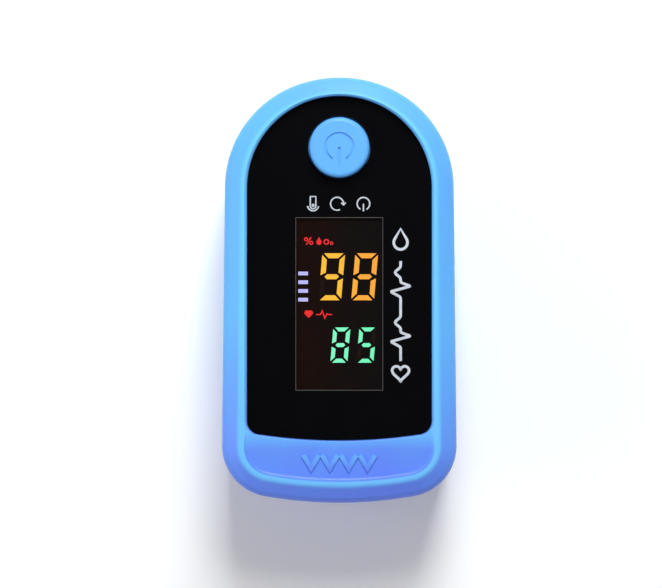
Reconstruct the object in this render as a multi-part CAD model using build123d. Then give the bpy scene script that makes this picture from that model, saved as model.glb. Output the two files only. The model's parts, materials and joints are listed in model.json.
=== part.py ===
from build123d import *
import os
from math import cos, radians, sin, sqrt, tan

# Fingertip pulse oximeter. It lies on its battery door with the display up.
# X is the width, +Y points out of the finger opening, +Z is up, and the origin is on the
# floor under the middle of the case. All sizes are in millimetres.

# ---------------------------------------------------------------- driving dimensions
# Case
length = 58.0               # nose to squeeze end
width = 32.0                # across the squeeze end, the widest place
side_taper = 0.4            # how far each side comes in by the shoulders of the nose
nose_depth = 14.96          # shoulders to tip of the nose
nose_squareness = 0.16      # how much tighter the shoulder arcs are than the nose is deep
rear_corner_radius = 7.0
rear_bow_radius = 58.0
wall = 1.5
floor_edge_radius = 2.6     # rounding of the bottom edge
crown_width = 2.4           # sloping band round the top edge, in plan
crown_drop = 1.3            # how far that band falls
crown_outer_radius = 1.4
crown_inner_radius = 0.9

# Front panel
button_stand = 0.6          # power button above the rim
panel_drop = 0.3            # panel below the rim
side_border = 3.04          # rim beside the panel, at the shoulders
nose_border = 2.6           # rim in front of the panel
push_zone_length = 8.56     # from the panel to the squeeze end
panel_bow_radius = 73.0
panel_corner_radius = 1.8
panel_gap = 0.06            # round the panel, in its recess
rim_radius = 0.3            # rounding of the outer edges that face each other, at the split
panel_edge = 0.3            # bevel round the mouth of the panel's recess
lens_thickness = 1.0
lens_edge = 0.08
bond_thickness = 0.05       # clear adhesive between lens and mask
mask_thickness = 0.12
shelf_thickness = 1.1       # case material under the panel
window_width = 11.85
window_length = 23.5
window_y = -1.88
window_gap = 0.15           # round the display body, in the shelf

# Thumb recess of the squeeze end, with its raised grip marks
recess_inset = 2.95
recess_lead = 1.5           # the recess starts this far under the end of the panel
recess_angle = 5.5
recess_fillet = 0.45
chevron_count = 4
chevron_pitch = 2.55
chevron_width = 2.1
chevron_length = 1.8
chevron_stroke = 0.62
chevron_height = 0.24
chevron_from_rear = 5.7

# Power button and its switch
button_diameter = 8.2
button_from_nose = 9.6
button_gap = 0.15
button_flange = 0.8         # flange beyond the cap, under the panel shelf
button_flange_thickness = 0.6
flange_gap = 0.08           # between the flange and the shelf above it
button_edge_radius = 0.55
button_travel = 0.4
symbol_radius = 1.87
symbol_stroke = 0.4
symbol_depth = 0.22
symbol_gap_angle = 30.0     # half of the opening of the ring
symbol_bar = 2.6
switch_side = 5.0
switch_height = 1.9
switch_corner = 0.5
switch_floor = 0.2          # under the well for the stem
stem_clearance = 0.05       # round the stem, in its well
stem_diameter = 2.2
stem_gap = 0.08             # between the stem and the cap above it
stem_lift = 0.3             # under the stem when the button is down

# Clip between the two halves
hinge_from_rear = 19.0
half_gap = 0.5              # between the rims of the two halves
opening_angle = 20.0        # how far the clip opens
wedge_spare = 1.0           # slope of each rim behind the hinge, beyond half of the opening
pin_diameter = 2.0
pin_gap = 0.05              # running clearance in the upper ears
pin_chamfer = 0.2
ear_radius = 3.0
inner_ear = (3.0, 4.4)      # near and far faces from the middle plane
outer_ear = (9.0, 10.6)
upper_ear = (10.9, 12.6)
spring_span = (4.7, 8.7)
spring_radius = 2.9
spring_wire = 0.8
spring_leg = 9.5
spring_bore_gap = 0.6       # between the coil and its pin
spring_leg_gap = 0.05       # between a leg and the tray it bears on

# Battery bay
cell_diameter = 10.5
cell_length = 44.5
cell_side_gap = 0.3         # between the two cells
cell_nub_diameter = 3.8
cell_nub_length = 0.9
cell_gap = 0.2
contact_room = 3.7          # for a compressed spring at the flat end of a cell
contact_thickness = 0.3
contact_gap = 0.1
contact_width = 8.4
cell_edge_radius = 0.5
cone_radii = (3.4, 2.0)     # contact spring at the plate and at the cell
cone_wall = 0.8
bay_from_rear = 2.7
bay_gap = 0.3
bay_wall = 0.9

# Battery door
door_thickness = 1.4
door_cover = 0.35           # visible face past the bay, on each side
door_tongue = 1.0           # tongue beyond the face, on each side
door_tongue_thickness = 0.6
door_from_rear = 4.5
door_gap = 0.12
door_ledge = 1.0            # case floor above the tongues
grip_count = 6
grip_pitch = 1.8
grip_width = 0.8
grip_depth = 0.35
grip_length = 13.0
grip_from_nose = 20.0

# Inner trays, finger pads and sensor
tray_thickness = 1.0
upper_tray_thickness = 0.9
tray_gap = 0.15             # between tray and case wall
cradle_seat = 0.15          # between tray plate and the bottom of the pad's trough
finger_half_width = 8.3
finger_half_height = 4.3
finger_depth = 33.0         # nose to the finger stop
pad_thickness = 1.2
pad_flange = 0.7
pad_part_gap = 0.3          # between the two pads
pad_front_inset = 0.5
stop_thickness = 1.0        # plastic behind the pad's end wall
pad_clearance = 0.02        # between the pad and its trough
sensor_from_nose = 23.0
window_piece = (5.2, 6.2)
window_piece_gap = 0.15
window_piece_drop = 0.2     # below the finger pad's surface
window_piece_corner = 0.8
diode_size = (2.8, 3.6, 0.8)
diode_gap = 0.3             # round the diode, in its tray

# Boards
sensor_board_width = 3.6
sensor_board_thickness = 0.6
sensor_board_drop = 0.1
sensor_board_margin = 3.5   # past the cable and past the middle of the diode
board_gap = 1.2             # upper tray to main board
board_thickness = 0.8
panel_room = 3.33           # main board to the shelf under the panel
board_inset = 3.3
board_from_rear = 9.0
board_from_nose = 3.6
emitter_board_side = 6.4
emitter_board_thickness = 0.6
display_border = 0.6        # display body beyond the window
display_recess = 0.45       # display face below the mask
cable_width = 3.4
cable_thickness = 0.25
socket_size = (4.2, 1.7, 0.9)
cable_gap = 0.05            # round the cable, in its sockets
slot_margin = (0.3, 0.25)   # beside and behind a socket, in the tray
chip_side = 6.0
chip_height = 0.8
chip_stand = 0.1            # body clear of the board
chip_leg = (0.9, 0.3, 0.4)
chip_leg_pitch = 0.8
chip_leg_count = 6
chip_from_sensor = 11.0
capacitor_size = (0.8, 1.6, 0.7)
capacitor_pitch = 1.6
capacitor_count = 3

# Screws
screw_diameter = 1.6
screw_length = 5.0
screw_head_diameter = 2.8
screw_head_height = 0.9
screw_cross = (0.3, 1.5)    # width and length of the recess in the head
screw_gap = 0.05
screw_pilot = 0.5           # hole past the end of the screw
tray_hole_gap = 0.15        # round the shank, in the tray
head_gap = 0.3              # round the head, in its well
boss_radius = 1.7
boss_bite = 0.2             # how far each boss runs into the side wall
boss_clear = 0.4            # round a boss, in the main board
rear_screw_from_rear = 4.61
front_screw_from_nose = 21.0

# Lanyard hole in the left wall
lanyard_hole_radius = 1.1
lanyard_from_rear = 11.0
lanyard_above_tray = 1.9

# Lit segments of the display
segment_depth = 0.5
segment_slant = 5.0
big_digit = (3.1, 6.4, 0.68)       # width, height and stroke
big_digit_centres = (-1.03, 3.46)
big_digit_y = 1.83
small_digit = (2.32, 4.8, 0.54)
small_digit_centres = (0.15, 3.7)
small_digit_y = -7.48
segment_gap = 0.22
bar_size = (1.32, 0.5)
bar_x = -4.93
bar_top_y = 2.28
bar_pitch = 1.19
bar_count = 4
oxygen_label = (-2.77, 6.7)
pulse_label = (-4.17, -3.32)
label_height = 1.05
fine_stroke = 0.16
percent_ring = (0.28, 0.12)
molecule_ring = (0.4, 0.22)
atom_ring = (0.24, 0.1)
drop_radius = 0.36
heart_lobe = 0.34

# ---------------------------------------------------------------- derived places
nose_y = length / 2
rear_y = -length / 2
shoulder_y = nose_y - nose_depth
shoulder_half = width / 2 - side_taper

panel_half = shoulder_half - side_border
panel_round_y = nose_y - nose_border - panel_half
panel_rear_y = rear_y + push_zone_length
button_y = nose_y - button_from_nose

cell_x = (cell_diameter + cell_side_gap) / 2
cell_z = door_thickness + cell_gap + cell_diameter / 2
bay_half = cell_x + cell_diameter / 2 + bay_gap
bay_rear_y = rear_y + bay_from_rear
bay_front_y = bay_rear_y + cell_length + contact_room + 2 * contact_thickness + contact_gap
floor_z = door_thickness + door_gap + door_ledge

tray_z = cell_z + cell_diameter / 2 + cell_gap
tray_top = tray_z + tray_thickness
hinge_y = rear_y + hinge_from_rear
wedge_angle = opening_angle / 2 + wedge_spare
hinge_z = tray_top + cradle_seat + pad_thickness + finger_half_height
upper_tray_z = 2 * hinge_z - tray_top
upper_tray_top = upper_tray_z + upper_tray_thickness
lower_rim = hinge_z - half_gap / 2
stop_y = nose_y - finger_depth
cradle_rear_y = stop_y - pad_thickness - stop_thickness
sensor_y = nose_y - sensor_from_nose

board_z = upper_tray_top + board_gap
board_top = board_z + board_thickness
shelf_bottom = board_top + panel_room
shelf_top = shelf_bottom + shelf_thickness
mask_top = shelf_top + mask_thickness
lens_bottom = mask_top + bond_thickness
lens_top = lens_bottom + lens_thickness
rim_z = lens_top + panel_drop
height = rim_z + button_stand       # floor to the top of the power button
flange_z = shelf_bottom - flange_gap - button_flange_thickness
display_top = mask_top - display_recess
screw_x = width / 2 - side_taper - wall - boss_radius + boss_bite
rear_bow = rear_bow_radius - sqrt(rear_bow_radius ** 2 - screw_x ** 2)      # of the rear end, at the screws
screw_ys = (rear_y + rear_bow + rear_screw_from_rear, nose_y - front_screw_from_nose)
chip_y = sensor_y - chip_from_sensor
cable_ends = (tray_z - sensor_board_drop + socket_size[2] / 2, board_z - socket_size[2] / 2)
lanyard_y = rear_y + lanyard_from_rear
lanyard_z = tray_top + lanyard_above_tray
SPAN = 2 * (length + width + height)        # long enough to cut right through the case
BITE = 0.01                                 # overlap of shapes that are joined into one


# ---------------------------------------------------------------- shared shapes
def box(x, y, z):
    """Box from three (low, high) pairs."""
    size = [pair[1] - pair[0] for pair in (x, y, z)]
    middle = [(pair[0] + pair[1]) / 2 for pair in (x, y, z)]
    return Pos(*middle) * Box(*size)


def both_sides(shape):
    """A shape and its mirror image in the middle plane, as one list of solids."""
    return [shape, mirror(shape, about=Plane.YZ)]


def outline(inset=0.0):
    """The case in plan, moved inwards by inset: round nose, tapering sides and bowed rear end."""
    shoulder_arc = min(shoulder_half, nose_depth) - nose_squareness
    lean = nose_depth - shoulder_arc
    nose_arc = nose_depth + ((shoulder_half - shoulder_arc) ** 2 - lean ** 2) / (2 * lean)
    taper = side_taper / (shoulder_y - rear_y - rear_corner_radius)

    def side_x(y):
        return shoulder_half - inset + taper * (shoulder_y - y)

    corners = [(side_x(rear_y), rear_y), (side_x(nose_y), nose_y)]
    sides = Polygon(*corners, *[(-x, y) for x, y in reversed(corners)], align=None)
    behind = Pos(0, -length / 2) * Rectangle(2 * width, length)
    nose = Pos(0, nose_y - nose_arc) * (Circle(nose_arc - inset) + behind)
    bow = Pos(0, rear_y + rear_bow_radius) * Circle(rear_bow_radius - inset)
    face = sides & nose & bow
    face = fillet(face.vertices().sort_by(Axis.Y)[:2], rear_corner_radius - inset)
    return fillet(face.vertices().sort_by(Axis.Y)[-2:], shoulder_arc - inset)


def case_block(inset, low, high):
    return Pos(0, 0, low) * extrude(outline(inset), high - low)


def panel_outline(inset=0.0):
    """The front panel: half-round nose, straight sides and a bowed lower edge."""
    half = panel_half - inset
    face = Pos(0, panel_round_y) * Circle(half)
    face += Pos(0, (panel_round_y + rear_y) / 2) * Rectangle(2 * half, panel_round_y - rear_y)
    face &= Pos(0, panel_rear_y + panel_bow_radius) * Circle(panel_bow_radius - inset)
    return fillet(face.vertices().sort_by(Axis.Y)[:2], panel_corner_radius - inset)


def panel_block(inset, low, high):
    return Pos(0, 0, low) * extrude(panel_outline(inset), high - low)


def finger_bore(growth, rear):
    """Oval bore of the finger tunnel, grown all round, from a place in the case out of the nose."""
    oval = Ellipse(finger_half_width + growth, finger_half_height + growth)
    return Plane(origin=(0, rear, hinge_z), x_dir=(1, 0, 0), z_dir=(0, 1, 0)) * extrude(oval, SPAN)


def rim_gap():
    """The space between the halves: a thin slot in front of the hinge and a wedge behind it."""
    fall = (hinge_y - rear_y + wall) * tan(radians(wedge_angle))
    points = [(nose_y + wall, half_gap / 2), (hinge_y, half_gap / 2), (rear_y - wall, half_gap / 2 + fall)]
    points += [(y, -z) for y, z in reversed(points)]
    side = Plane.YZ * Pos(0, hinge_z) * Polygon(*points, align=None)
    return extrude(side, SPAN / 2, both=True)


def rounded_rim(body):
    """Rounds the outer edge that faces the other half, all round a shell."""
    fall = tan(radians(wedge_angle))
    inner = case_block(wall / 2, 0, SPAN)

    def at_split(point):
        return abs(abs(point.Z - hinge_z) - half_gap / 2 - max(0, hinge_y - point.Y) * fall) < BITE

    edges = [edge for edge in body.edges() if at_split(edge @ 0.5) and at_split(edge @ 0.2)]
    return fillet([edge for edge in edges if not inner.is_inside(edge @ 0.5)], rim_radius)


def screw_places():
    return [(side * screw_x, y) for side in (-1, 1) for y in screw_ys]


def screw(x, y, seat, direction):
    """Self-tapping screw with a cross recess; direction is +1 when its head is above the seat."""
    bottom = seat - screw_length * direction
    shank = Cylinder(screw_diameter / 2, screw_length)
    head = Cylinder(screw_head_diameter / 2, screw_head_height)
    cross_depth = screw_head_height / 2
    top = seat + direction * screw_head_height
    slot, reach = screw_cross
    cross = Box(slot, reach, 2 * cross_depth) + Box(reach, slot, 2 * cross_depth)
    body = Pos(x, y, (seat + bottom) / 2) * shank + Pos(x, y, (seat + top) / 2) * head
    return body - Pos(x, y, top) * cross


# ---------------------------------------------------------------- case
def case_crown():
    """Outer body of the upper half, with the sloping band round its top edge."""
    body = case_block(0, hinge_z - hinge_from_rear, rim_z)
    top = body.faces().sort_by(Axis.Z)[-1]
    body = chamfer(top.edges(), crown_width, crown_drop, reference=top)
    for level, radius in ((rim_z, crown_inner_radius), (rim_z - crown_drop, crown_outer_radius)):
        body = fillet(body.edges().filter_by_position(Axis.Z, level - BITE, level + BITE), radius)
    return body


def recess_plane():
    """Sloping floor of the thumb recess."""
    lean = radians(recess_angle)
    start = (0, panel_rear_y + recess_lead, rim_z)
    return Plane(origin=start, x_dir=(1, 0, 0), z_dir=(0, -sin(lean), cos(lean)))


def thumb_recess():
    reach = SPAN / 2
    above = recess_plane() * Pos(0, -reach / 2, reach / 2) * Box(width, reach, reach)
    tool = above & case_block(recess_inset, hinge_z, rim_z + wall)
    floor = tool.faces().sort_by(Axis.Z)[0]
    walls = floor.edges().sort_by(Axis.Y)[:-1]
    return fillet(walls, recess_fillet)


def chevrons():
    """Row of raised V-shaped grip marks that point to the squeeze end."""
    half, rise = chevron_width / 2, chevron_length / 2
    mark = Polyline((-half, rise), (0, -rise), (half, rise))
    shape = trace(mark, chevron_stroke)
    start = panel_rear_y + recess_lead
    along = (rear_y + chevron_from_rear - start) / cos(radians(recess_angle))
    row = [Pos((i - (chevron_count - 1) / 2) * chevron_pitch, along) * shape for i in range(chevron_count)]
    return [recess_plane() * Pos(0, 0, -chevron_height) * extrude(one, 2 * chevron_height) for one in row]


def make_upper_shell():
    body = case_crown() - case_block(wall, 0, shelf_bottom)
    body -= thumb_recess()
    for mark in chevrons():
        body += mark
    body -= panel_block(-panel_gap, shelf_top, height)
    body -= Pos(0, 0, rim_z - panel_edge) * extrude(panel_outline(-panel_gap), 2 * panel_edge, taper=-45)
    body -= Pos(0, button_y, height) * Cylinder(button_diameter / 2 + button_gap, height)
    margin = 2 * (display_border + window_gap)
    body -= Pos(0, window_y, height) * Box(window_width + margin, window_length + margin, height)
    for x, y in screw_places():
        post = Pos(x, y, 0) * Cylinder(boss_radius, SPAN)
        body += post & case_block(wall / 2, upper_tray_top, shelf_bottom)
        depth = screw_length + screw_pilot - upper_tray_thickness
        body -= Pos(x, y, upper_tray_top) * Cylinder(screw_diameter / 2 + screw_gap, 2 * depth)
    body -= rim_gap()
    body -= box((-SPAN, SPAN), (-SPAN, SPAN), (-SPAN, hinge_z))
    return rounded_rim(body) - finger_bore(pad_thickness + tray_gap, 0)


def case_tub():
    """Outer body of the lower half, rounded at the floor."""
    body = case_block(0, 0, lower_rim + half_gap)
    return fillet(body.faces().sort_by(Axis.Z)[0].edges(), floor_edge_radius)


def door_zone(gap):
    """Space of the sliding door: its face, and the tongues beside it above the rails."""
    rear = rear_y + door_from_rear - gap
    face = bay_half + door_cover + gap
    step = door_thickness - door_tongue_thickness - gap
    top = door_thickness + gap
    tongue = face + door_tongue
    zone = box((-face, face), (rear, SPAN), (-wall, step + BITE))
    return zone + box((-tongue, tongue), (rear, SPAN), (step, top))


def make_lower_shell():
    body = case_tub() - case_block(wall, floor_z, SPAN)
    inside = case_block(wall / 2, 0, tray_z)
    ends = (bay_rear_y - bay_wall, bay_front_y + bay_wall)
    outer = bay_half + bay_wall
    body += box((-outer, outer), ends, (door_thickness, tray_z)) & inside
    for x, y in screw_places():
        post = Pos(x, y, floor_z) * Cylinder(boss_radius, SPAN)
        body += post & case_block(wall / 2, floor_z - door_gap, tray_z)
        depth = screw_length + screw_pilot - tray_thickness
        body -= Pos(x, y, tray_z) * Cylinder(screw_diameter / 2 + screw_gap, 2 * depth)
    body -= box((-bay_half, bay_half), (bay_rear_y, bay_front_y), (door_thickness + door_gap - BITE, SPAN))
    body -= door_zone(door_gap)
    body -= rim_gap()
    body -= box((-SPAN, SPAN), (-SPAN, SPAN), (hinge_z, SPAN))
    body = rounded_rim(body) - finger_bore(pad_thickness + tray_gap, 0)
    side = Plane(origin=(0, lanyard_y, lanyard_z), z_dir=(-1, 0, 0))
    return body - side * extrude(Circle(lanyard_hole_radius), width)


def make_battery_door():
    body = case_tub() & door_zone(0)
    for i in range(grip_count):
        y = nose_y - grip_from_nose + i * grip_pitch
        body -= Pos(0, y, 0) * Box(grip_length, grip_width, 2 * grip_depth)
    return body


# ---------------------------------------------------------------- front panel and power button
def make_front_lens():
    lens = panel_block(0, lens_bottom, lens_top)
    lens -= Pos(0, button_y, lens_top) * Cylinder(button_diameter / 2 + button_gap, 4 * lens_thickness)
    return chamfer(lens.faces().sort_by(Axis.Z)[-1].edges(), lens_edge)


def make_panel_mask():
    mask = panel_block(0, shelf_top, mask_top)
    mask -= Pos(0, button_y, mask_top) * Cylinder(button_diameter / 2 + button_gap, 4 * lens_thickness)
    return mask - Pos(0, window_y, mask_top) * Box(window_width, window_length, 4 * lens_thickness)


def power_symbol():
    """Ring open at the rear with a bar from its middle to the opening, as a flat shape."""
    start = -90 + symbol_gap_angle
    ring = trace(CenterArc((0, 0), symbol_radius, start, 360 - 2 * symbol_gap_angle), symbol_stroke)
    return ring + trace(Line((0, 0), (0, -symbol_bar)), symbol_stroke)


def make_button_cap():
    cap = Pos(0, button_y, (flange_z + height) / 2) * Cylinder(button_diameter / 2, height - flange_z)
    cap = fillet(cap.edges().sort_by(Axis.Z)[-1], button_edge_radius)
    flange = Cylinder(button_diameter / 2 + button_flange, button_flange_thickness)
    cap += Pos(0, button_y, flange_z + button_flange_thickness / 2) * flange
    groove = extrude(power_symbol(), 2 * symbol_depth)
    return cap - Pos(0, button_y, height - symbol_depth) * groove


def make_switch_body():
    low, high = board_top, board_top + switch_height
    half = switch_side / 2
    body = box((-half, half), (button_y - half, button_y + half), (low, high))
    body = chamfer(body.edges().filter_by(Axis.Z), switch_corner)
    well = Cylinder(stem_diameter / 2 + stem_clearance, 2 * (switch_height - switch_floor))
    return body - Pos(0, button_y, high) * well


def make_switch_stem():
    top = flange_z - stem_gap
    low = board_top + stem_lift + button_travel
    return Pos(0, button_y, (low + top) / 2) * Cylinder(stem_diameter / 2, top - low)


# ---------------------------------------------------------------- inner trays and finger pads
def ear(span, plate_z):
    """Hinge ear between two distances from the middle plane, from a tray plate to round its pin."""
    low, high = sorted((plate_z, hinge_z))
    x = (span[0] + span[1]) / 2
    thick = span[1] - span[0]
    body = Pos(x, hinge_y, (low + high) / 2) * Box(thick, 2 * ear_radius, high - low)
    return body + Pos(x, hinge_y, hinge_z) * Rot(0, 90, 0) * Cylinder(ear_radius, thick)


def pin_bore(gap):
    return Pos(0, hinge_y, hinge_z) * Rot(0, 90, 0) * Cylinder(pin_diameter / 2 + gap, width)


def cradle(low, high):
    """Block that carries a finger pad, with the pad's trough, in front of the hinge."""
    front = box((-width, width), (cradle_rear_y, SPAN), (-SPAN, SPAN))
    block = case_block(wall + tray_gap, low, high) & front
    return block - finger_bore(pad_thickness, stop_y - pad_thickness)


def make_lower_tray():
    body = case_block(wall + tray_gap, tray_z, tray_top)
    body += cradle(tray_top - BITE, hinge_z - pad_part_gap / 2 - pad_flange)
    for span in (inner_ear, outer_ear):
        for one in both_sides(ear(span, tray_top - BITE)):
            body += one
    body -= pin_bore(0)
    pocket_x, pocket_y = [side / 2 + window_piece_gap for side in window_piece]
    body -= box((-pocket_x, pocket_x), (sensor_y - pocket_y, sensor_y + pocket_y), (tray_top, hinge_z))
    hole_x, hole_y = [side / 2 + diode_gap for side in diode_size[:2]]
    body -= box((-hole_x, hole_x), (sensor_y - hole_y, sensor_y + hole_y), (tray_z - wall, hinge_z))
    body -= cable_slot(tray_z - wall, tray_top + wall)
    for x, y in screw_places():
        body -= Pos(x, y, tray_z) * Cylinder(screw_diameter / 2 + tray_hole_gap, 4 * tray_thickness)
        body -= head_well(x, y, tray_top, hinge_z)
    return body


def make_upper_tray():
    body = case_block(wall + tray_gap, upper_tray_z, upper_tray_top)
    body += cradle(hinge_z + pad_part_gap / 2 + pad_flange, upper_tray_z + BITE)
    for one in both_sides(ear(upper_ear, upper_tray_z + BITE)):
        body += one
    body -= pin_bore(pin_gap)
    pocket_x, pocket_y = [side / 2 + window_piece_gap for side in window_piece]
    body -= box((-pocket_x, pocket_x), (sensor_y - pocket_y, sensor_y + pocket_y), (hinge_z, upper_tray_z))
    hole_x, hole_y = [side / 2 + diode_gap for side in diode_size[:2]]
    body -= box((-hole_x, hole_x), (sensor_y - hole_y, sensor_y + hole_y), (hinge_z, upper_tray_top + wall))
    body -= cable_slot(upper_tray_z - wall, upper_tray_top + wall)
    for x, y in screw_places():
        body -= Pos(x, y, upper_tray_top) * Cylinder(screw_diameter / 2 + tray_hole_gap, 4 * tray_thickness)
        body -= head_well(x, y, hinge_z, upper_tray_z)
    return body


def head_well(x, y, low, high):
    """Round well that lets a screw's head down to the tray plate."""
    return Pos(x, y, (low + high) / 2) * Cylinder(screw_head_diameter / 2 + head_gap, high - low)


def cable_slot(low, high):
    half = socket_size[0] / 2 + slot_margin[0]
    deep = socket_size[1] / 2 + slot_margin[1]
    return box((-half, half), (hinge_y - deep, hinge_y + deep), (low, high))


def make_finger_pad(side):
    """Silicone lining of one half of the finger tunnel; side is +1 for the upper half."""
    reach = finger_half_height + pad_thickness + tray_thickness
    part = side * pad_part_gap / 2
    rim = side * (pad_part_gap / 2 + pad_flange)
    space = sorted((hinge_z + part, hinge_z + side * reach))
    half_space = box((-SPAN, SPAN), (-SPAN, SPAN), space)
    lining = finger_bore(pad_thickness - pad_clearance, stop_y - pad_thickness + pad_clearance) & half_space
    lining &= case_block(pad_front_inset, 0, SPAN)
    low, high = sorted((hinge_z + part, hinge_z + rim))
    front = box((-width, width), (cradle_rear_y, SPAN), (-SPAN, SPAN))
    flange = case_block(wall + tray_gap, low, high) & front
    pad = lining + flange - finger_bore(0, stop_y)
    hole_x, hole_y = [size / 2 + window_piece_gap for size in window_piece]
    window = box((-hole_x, hole_x), (sensor_y - hole_y, sensor_y + hole_y), space)
    return pad - (window - box((-SPAN, SPAN), (-SPAN, SPAN), sorted((hinge_z, hinge_z + rim))))


def make_sensor_window(side):
    """Clear cover over the light source or the photodiode, a little below the pad's surface."""
    plate = tray_top if side < 0 else upper_tray_z
    face = hinge_z + side * (finger_half_height + window_piece_drop)
    half_x, half_y = [size / 2 for size in window_piece]
    body = box((-half_x, half_x), (sensor_y - half_y, sensor_y + half_y), sorted((plate, face)))
    return fillet(body.edges().filter_by(Axis.Z), window_piece_corner)


# ---------------------------------------------------------------- hinge hardware
def make_hinge_pins():
    low, high = inner_ear[0], upper_ear[1]
    pin = Pos((low + high) / 2, hinge_y, hinge_z) * Rot(0, 90, 0) * Cylinder(pin_diameter / 2, high - low)
    return Compound(children=both_sides(chamfer(pin.edges(), pin_chamfer)))


def make_torsion_spring():
    """Coil round the right-hand pin with one leg on each tray, as its outer envelope."""
    low, high = spring_span
    middle = (low + high) / 2
    coil = Pos(middle, hinge_y, hinge_z) * Rot(0, 90, 0) * Cylinder(spring_radius, high - low)
    coil -= pin_bore(spring_bore_gap)
    tangent = spring_radius - 0.75 * spring_wire
    inside = (high - low) / 2 - 0.75 * spring_wire
    for side, plate in ((-1, tray_top), (1, upper_tray_z)):
        start = Vector(middle - side * inside, hinge_y, hinge_z + side * tangent)
        end = Vector(start.X, hinge_y - spring_leg, plate - side * (spring_wire / 2 + spring_leg_gap))
        wire = extrude(Circle(spring_wire / 2), (end - start).length)
        coil += Plane(origin=start, z_dir=end - start) * wire
    return coil


def make_flex_cable():
    half = cable_width / 2
    thick = cable_thickness / 2
    return box((-half, half), (hinge_y - thick, hinge_y + thick), cable_ends)


# ---------------------------------------------------------------- power supply
def make_cell(side):
    """AAA cell; the left one points to the nose and the right one to the squeeze end."""
    can = cell_length - cell_nub_length
    on_end = (Align.CENTER, Align.CENTER, Align.MIN)
    body = Cylinder(cell_diameter / 2, can, align=on_end)
    body = fillet(body.edges(), cell_edge_radius)
    body += Pos(0, 0, can - BITE) * Cylinder(cell_nub_diameter / 2, cell_nub_length + BITE, align=on_end)
    gap = contact_thickness + contact_gap
    if side < 0:
        return Plane(origin=(-cell_x, bay_front_y - gap - cell_length, cell_z), z_dir=(0, 1, 0)) * body
    return Plane(origin=(cell_x, bay_rear_y + gap + cell_length, cell_z), z_dir=(0, -1, 0)) * body


def make_bridge_contact():
    """Plate across the nose end of the bay, which joins the two cells."""
    half = cell_x + contact_width / 2
    low, high = cell_z - contact_width / 2, cell_z + contact_width / 2
    return box((-half, half), (bay_front_y - contact_thickness, bay_front_y), (low, high))


def make_terminal_contacts():
    low, high = cell_z - contact_width / 2, cell_z + contact_width / 2
    half = contact_width / 2
    plate = box((cell_x - half, cell_x + half), (bay_rear_y, bay_rear_y + contact_thickness), (low, high))
    return Compound(children=both_sides(plate))


def make_contact_springs():
    """Cone springs at the flat ends of the cells, as their outer envelopes."""
    room = contact_room - contact_gap
    wide, narrow = cone_radii
    cone = Cone(wide, narrow, room) - Cone(wide - cone_wall, narrow - cone_wall, room)
    reach = contact_thickness + room / 2
    rear = Plane(origin=(-cell_x, bay_rear_y + reach, cell_z), z_dir=(0, 1, 0)) * cone
    front = Plane(origin=(cell_x, bay_front_y - reach, cell_z), z_dir=(0, -1, 0)) * cone
    return Compound(children=[rear, front])


# ---------------------------------------------------------------- boards and light parts
def make_sensor_board():
    half = sensor_board_width / 2
    high = tray_z - sensor_board_drop
    ends = (hinge_y - sensor_board_margin, sensor_y + sensor_board_margin)
    return box((-half, half), ends, (high - sensor_board_thickness, high))


def make_photodiode():
    x, y, z = diode_size
    low = tray_z - sensor_board_drop
    return Pos(0, sensor_y, low + z / 2) * Box(x, y, z)


def make_lower_socket():
    x, y, z = socket_size
    low = tray_z - sensor_board_drop
    body = Pos(0, hinge_y, low + z / 2) * Box(sensor_board_width, y, z)
    return body - cable_groove(cable_ends[0] - cable_gap, low + 2 * z)


def make_upper_socket():
    x, y, z = socket_size
    body = Pos(0, hinge_y, board_z - z / 2) * Box(x, y, z)
    return body - cable_groove(board_z - 2 * z, cable_ends[1] + cable_gap)


def cable_groove(low, high):
    half = cable_width / 2 + cable_gap
    thick = cable_thickness / 2 + cable_gap
    return box((-half, half), (hinge_y - thick, hinge_y + thick), (low, high))


def make_main_board():
    ends = (rear_y + board_from_rear, nose_y - board_from_nose)
    board = case_block(board_inset, board_z, board_top) & box((-width, width), ends, (0, SPAN))
    for x, y in screw_places():
        board -= Pos(x, y, board_z) * Cylinder(boss_radius + boss_clear, 4 * board_thickness)
    return board


def make_display_body():
    high = display_top
    half_x, half_y = window_width / 2 + display_border, window_length / 2 + display_border
    body = box((-half_x, half_x), (window_y - half_y, window_y + half_y), (board_top, high))
    for light in all_lights():
        body -= light
    return body


def make_emitter_board():
    half = emitter_board_side / 2
    high = upper_tray_top + emitter_board_thickness
    return box((-half, half), (sensor_y - half, sensor_y + half), (upper_tray_top, high))


def make_emitter():
    x, y, z = diode_size
    return Pos(0, sensor_y, upper_tray_top - z / 2) * Box(x, y, z)


def make_microcontroller():
    """Quad flat package with its legs, under the main board."""
    long, wide, deep = chip_leg
    parts = Pos(0, chip_y, board_z - chip_stand - chip_height / 2) * Box(chip_side, chip_side, chip_height)
    out = (chip_side + long) / 2 - chip_stand
    for i in range(chip_leg_count):
        along = (i - (chip_leg_count - 1) / 2) * chip_leg_pitch
        for x_size, y_size, x, y in ((long, wide, out, along), (wide, long, along, out)):
            for sign in (-1, 1):
                parts += Pos(sign * x, chip_y + sign * y, board_z - deep / 2) * Box(x_size, y_size, deep)
    return parts


def make_board_parts():
    """Crystal, amplifier, regulator and capacitors under the main board."""
    places = [(-7.5, 3.0, 3.2, 1.6, 0.8), (-7.6, -2.5, 3.0, 3.0, 0.9), (7.4, 2.6, 2.9, 1.6, 1.0)]
    for start, y in ((7.0, -2.4), (-9.0, 6.4)):
        places += [(start + capacitor_pitch * i, y, *capacitor_size) for i in range(capacitor_count)]
    parts = []
    for x, y, size_x, size_y, size_z in places:
        parts.append(Pos(x, chip_y + y, board_z - size_z / 2) * Box(size_x, size_y, size_z))
    return Compound(children=parts)


# ---------------------------------------------------------------- lit parts of the display
def slanted(points, x, y):
    lean = tan(radians(segment_slant))
    return Polygon(*[(x + px + py * lean, y + py) for px, py in points], align=None)


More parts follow.
